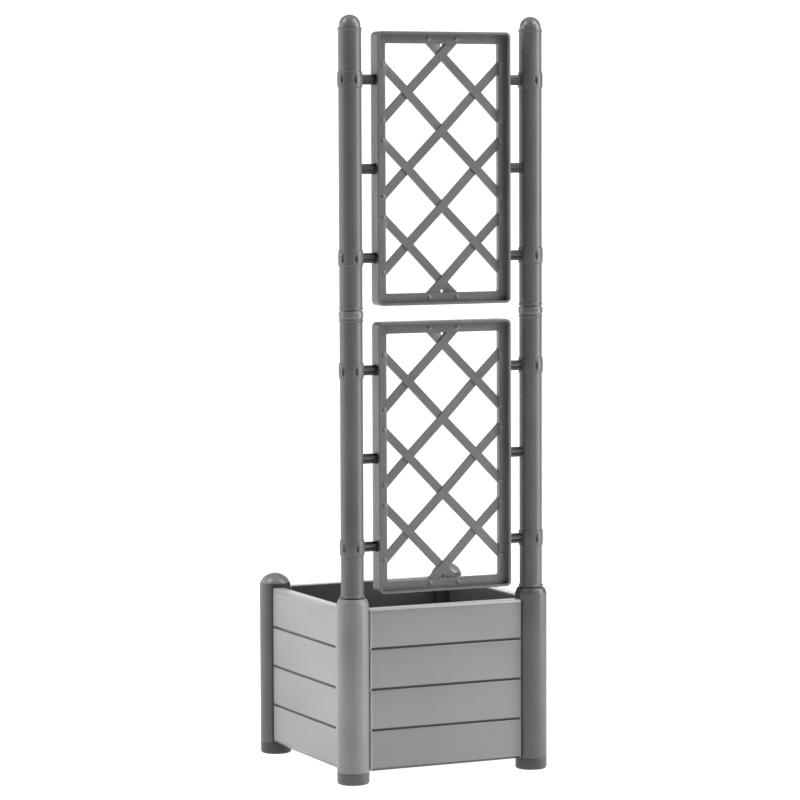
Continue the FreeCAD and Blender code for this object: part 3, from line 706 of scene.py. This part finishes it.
def lattice_plastic(name, dark, light, roughness, drawn_out):
    """Plastic with a short woody grain along the UV map's U. Each metre along it counts as only
    drawn_out metres of the pattern."""
    finish = Finish(name, IOR=REFRACTION)
    fibres = finish.noise(finish.place((drawn_out, 1.0, 1.0), "UV"), scale=520.0, roughness=0.6)
    clouds = finish.noise(finish.place(), scale=14.0)
    pits = finish.noise(finish.place(), scale=800.0, detail=2.0)
    finish.feed(
        Base_Color=finish.tint(finish.spread(clouds * 0.4 + fibres * 0.6, 0.35, 0.65), dark, light),
        Roughness=finish.spread(fibres * 0.6 + clouds * 0.4, 0.3, 0.7, roughness + 0.06, roughness - 0.06),
        Normal=finish.bump(fibres * 0.8 + pits * 0.2, strength=0.4, distance=0.4),
    )
    return finish.material


lattice_finish = lattice_plastic("lattice plastic", grey(0.09), grey(0.14), 0.38, drawn_out=0.09)
for level, middle in MIDDLES.items():
    lattice = cleaned(f"{level}_lattice", f"trellis_{level}", ease=0.7)
    lay_grain(lattice, middle)
    fitted(lattice, lattice_finish, "trellis", "lattice_plastic", f"{level}_lattice")

# ---- Pegs ------------------------------------------------------------------------------------
# Twelve short fluted pegs of a darker polypropylene hold the lattice panels between the tubes. Each
# is pushed through a tube's wall on one side and sits with its flange on a frame on the other.

peg_finish = satin_plastic("peg plastic", (0.016, 0.016, 0.017, 1), (0.026, 0.026, 0.027, 1), 0.3)


def fluted_pegs(name, material, sizes):
    """Geometry nodes that make a column of fluted pegs on each side of a lattice panel."""
    tree = bpy.data.node_groups.new(name, "GeometryNodeTree")
    tree.interface.new_socket("Geometry", in_out="OUTPUT", socket_type="NodeSocketGeometry")
    for label, value in sizes.items():
        kind = "NodeSocketInt" if isinstance(value, int) else "NodeSocketFloat"
        tree.interface.new_socket(label, in_out="INPUT", socket_type=kind).default_value = value
    given = tree.nodes.new("NodeGroupInput").outputs
    made = tree.nodes.new("NodeGroupOutput").inputs

    def step(kind, settings=None, **sockets):
        named = {key.replace("_", " "): value for key, value in sockets.items()}
        return add_node(tree, kind, settings, named)

    def maths(operation, first, second):
        return add_node(tree, "ShaderNodeMath", {"operation": operation}, {0: first, 1: second})[0]

    def joined(*parts):
        join = tree.nodes.new("GeometryNodeJoinGeometry")
        for part in parts:
            tree.links.new(part, join.inputs[0])
        return join.outputs[0]

    def rod(start, end, section):
        """A bar along X with this section, closed at both ends."""
        near = step("ShaderNodeCombineXYZ", X=start)[0]
        far = step("ShaderNodeCombineXYZ", X=end)[0]
        line = step("GeometryNodeCurvePrimitiveLine", Start=near, End=far)["Curve"]
        return step("GeometryNodeCurveToMesh", Curve=line, Profile_Curve=section, Fill_Caps=True)["Mesh"]

    star = step("GeometryNodeCurveStar", Points=given["Flutes"], Inner_Radius=given["Valley radius"],
                Outer_Radius=given["Ridge radius"])["Curve"]
    star = step("GeometryNodeFilletCurve", {"mode": "POLY"}, Curve=star, Count=3,
                Radius=given["Ridge rounding"], Limit_Radius=True)["Curve"]
    rim = step("GeometryNodeCurvePrimitiveCircle", Resolution=48, Radius=given["Flange radius"])["Curve"]
    flange_start = maths("SUBTRACT", given["Panel side"], given["Flange"])
    flange = rod(flange_start, given["Panel side"], rim)
    shank = rod(given["Tube side"], given["Panel side"], star)
    peg = joined(flange, shank)
    rise = step("ShaderNodeCombineXYZ", Z=given["Row pitch"])[0]

    def column(first_x, turn):
        """The pegs on one side of the panel, one above the other, turned towards it."""
        lowest = step("ShaderNodeCombineXYZ", X=first_x, Y=given["Depth"], Z=given["Lowest"])[0]
        rows = step("GeometryNodeMeshLine", {"mode": "OFFSET"}, Count=given["Rows"],
                    Start_Location=lowest, Offset=rise)["Mesh"]
        return step("GeometryNodeInstanceOnPoints", Points=rows, Instance=peg,
                    Rotation=(0.0, 0.0, turn))["Instances"]

    left = column(given["First X"], 0.0)
    right = column(maths("MULTIPLY", given["First X"], -1.0), math.pi)
    real = step("GeometryNodeRealizeInstances", Geometry=joined(right, left))["Geometry"]
    coloured = step("GeometryNodeSetMaterial", Geometry=real, Material=material)["Geometry"]
    tree.links.new(coloured, made[0])
    return tree


for level, middle in MIDDLES.items():
    sizes = {
        "Flutes": 12, "Rows": 3, "Ridge radius": 9.5 * MM, "Valley radius": 7.5 * MM,
        "Ridge rounding": 0.4 * MM, "Tube side": 20.0 * MM, "Panel side": 49.0 * MM, "Flange": 3.0 * MM,
        "Flange radius": 10.3 * MM, "First X": -AXIS * MM, "Depth": -AXIS * MM,
        "Lowest": (middle - PEG_PITCH) * MM, "Row pitch": PEG_PITCH * MM,
    }
    pegs = added(f"pegs_{level}", bpy.data.meshes.new(f"pegs_{level}"))
    maker = pegs.modifiers.new("fluted pegs", "NODES")
    maker.node_group = fluted_pegs(f"fluted pegs {level}", peg_finish, sizes)
    for item in maker.node_group.interface.items_tree:
        if item.in_out == "INPUT":
            maker[item.identifier] = sizes[item.name]
    baked(pegs)
    shape = bmesh.new()
    shape.from_mesh(pegs.data)
    bmesh.ops.remove_doubles(shape, verts=shape.verts, dist=WELD)
    bmesh.ops.recalc_face_normals(shape, faces=shape.faces)
    shape.to_mesh(pegs.data)
    shape.free()
    smooth(pegs.data, 50)
    names = [f"peg_{level}_{side}_{row}" for side in SIDES for row in ("bottom", "middle", "top")]
    fitted(pegs, peg_finish, "trellis", "peg_plastic", *names)

# ---- Studio ----------------------------------------------------------------------------------
# A pale paper floor that curves up behind the planter and glows evenly, tall soft lights at its
# sides, broad ones above, and the camera where the photograph was taken from. Sizes are in metres.

YAW, PITCH_DOWN, ROLL = (math.radians(angle) for angle in (24.833, 4.303, -0.232))
CAMERA_PLACE = (-2.74603, -5.93209, 1.18715)
FOCAL_LENGTH = 3426.8              # in the photograph's pixels
PHOTO_WIDTH = 800                  # in pixels
SENSOR_WIDTH = 36.0                # in millimetres
FARTHEST = 60.0

PAPER_START = -9.0                 # the paper lies flat from here to where it bends, along the view
PAPER_BEND = 6.0
BEND_RADIUS = 3.0
BEND_STEPS = 12
PAPER_HEIGHT = 7.0
PAPER_HALF_WIDTH = 3.6

line = [(PAPER_START, 0.0), (PAPER_BEND, 0.0)]
for k in range(1, BEND_STEPS + 1):
    turn = math.pi / 2 * k / BEND_STEPS
    line.append((PAPER_BEND + BEND_RADIUS * math.sin(turn), BEND_RADIUS - BEND_RADIUS * math.cos(turn)))
line.append((PAPER_BEND + BEND_RADIUS, PAPER_HEIGHT))
sweep = bmesh.new()
edges = []
for run, z in line:
    edge = []
    for wide in (-PAPER_HALF_WIDTH, PAPER_HALF_WIDTH):
        x = run * math.sin(YAW) + wide * math.cos(YAW)
        y = run * math.cos(YAW) - wide * math.sin(YAW)
        edge.append(sweep.verts.new((x, y, z)))
    edges.append(edge)
for low, high in zip(edges, edges[1:]):
    sweep.faces.new((low[0], low[1], high[1], high[0]))
floor = solid("studio_floor", sweep, 180)
paper = Finish("studio paper", Roughness=0.9, Emission_Color=grey(1), Emission_Strength=1.0)
cloud = paper.noise(paper.place(), scale=0.8, detail=2.0)
paper.feed(Base_Color=paper.tint(cloud, grey(0.48), grey(0.52)))
floor.data.materials.append(paper.material)

TALL = (0.9, 2.6)                  # width and height of a light
TALLEST = (1.1, 2.8)
BROAD = (1.8, 1.8)
BROADEST = (3.0, 3.0)
UPPER_HALF = (0, 0, 1)             # what a light faces
LOWER_HALF = (0, 0, 0.6)


def soft_light(name, where, towards, size, power):
    """A rectangular light that the camera doesn't see. Its power is in watts."""
    lamp = bpy.data.lights.new(name, "AREA")
    lamp.shape = "RECTANGLE"
    lamp.size, lamp.size_y = size
    lamp.energy = power
    direction = Vector(towards) - Vector(where)
    facing = direction.to_track_quat("-Z", "Y").to_matrix().to_4x4()
    holder = added(name, lamp)
    holder.matrix_world = Matrix.Translation(where) @ facing
    holder.visible_camera = False


soft_light("back_left_light", (-1.359, 2.895, 1.2), UPPER_HALF, TALL, 18)
soft_light("rear_left_light", (-2.456, 2.049, 1.2), UPPER_HALF, TALL, 26)
soft_light("left_light", (-3.092, 0.82, 1.2), UPPER_HALF, TALL, 30)
soft_light("right_light", (2.774, -1.592, 1.3), UPPER_HALF, TALLEST, 100)
soft_light("high_left_light", (-2.305, 0.195, 3.358), LOWER_HALF, BROAD, 75)
soft_light("high_right_light", (1.64, -1.631, 3.358), LOWER_HALF, BROAD, 84)
soft_light("top_light", (0, 0.3, 4.2), LOWER_HALF, BROADEST, 25)

# The air is white to the camera alone, so that it lights nothing.
world = bpy.data.worlds.new("studio air")
bpy.context.scene.world = world
world.use_nodes = True
air = world.node_tree.nodes["Background"]
air.inputs["Color"].default_value = grey(1)
air.inputs["Strength"].default_value = 1.0
for kind in ("diffuse", "glossy", "transmission", "scatter"):
    setattr(world.cycles_visibility, kind, False)

ahead = Vector((math.sin(YAW) * math.cos(PITCH_DOWN), math.cos(YAW) * math.cos(PITCH_DOWN),
                -math.sin(PITCH_DOWN)))
aside = Vector((math.cos(YAW), -math.sin(YAW), 0.0))
above = aside.cross(ahead)
right = math.cos(ROLL) * aside + math.sin(ROLL) * above
up = -math.sin(ROLL) * aside + math.cos(ROLL) * above
lens = bpy.data.cameras.new("camera")
lens.sensor_width = SENSOR_WIDTH
lens.lens = FOCAL_LENGTH / PHOTO_WIDTH * SENSOR_WIDTH
lens.clip_end = FARTHEST
camera = added("camera", lens)
camera.matrix_world = Matrix.Translation(CAMERA_PLACE) @ Matrix((right, up, -ahead)).transposed().to_4x4()
bpy.context.scene.camera = camera
bpy.context.scene.view_settings.view_transform = "Standard"
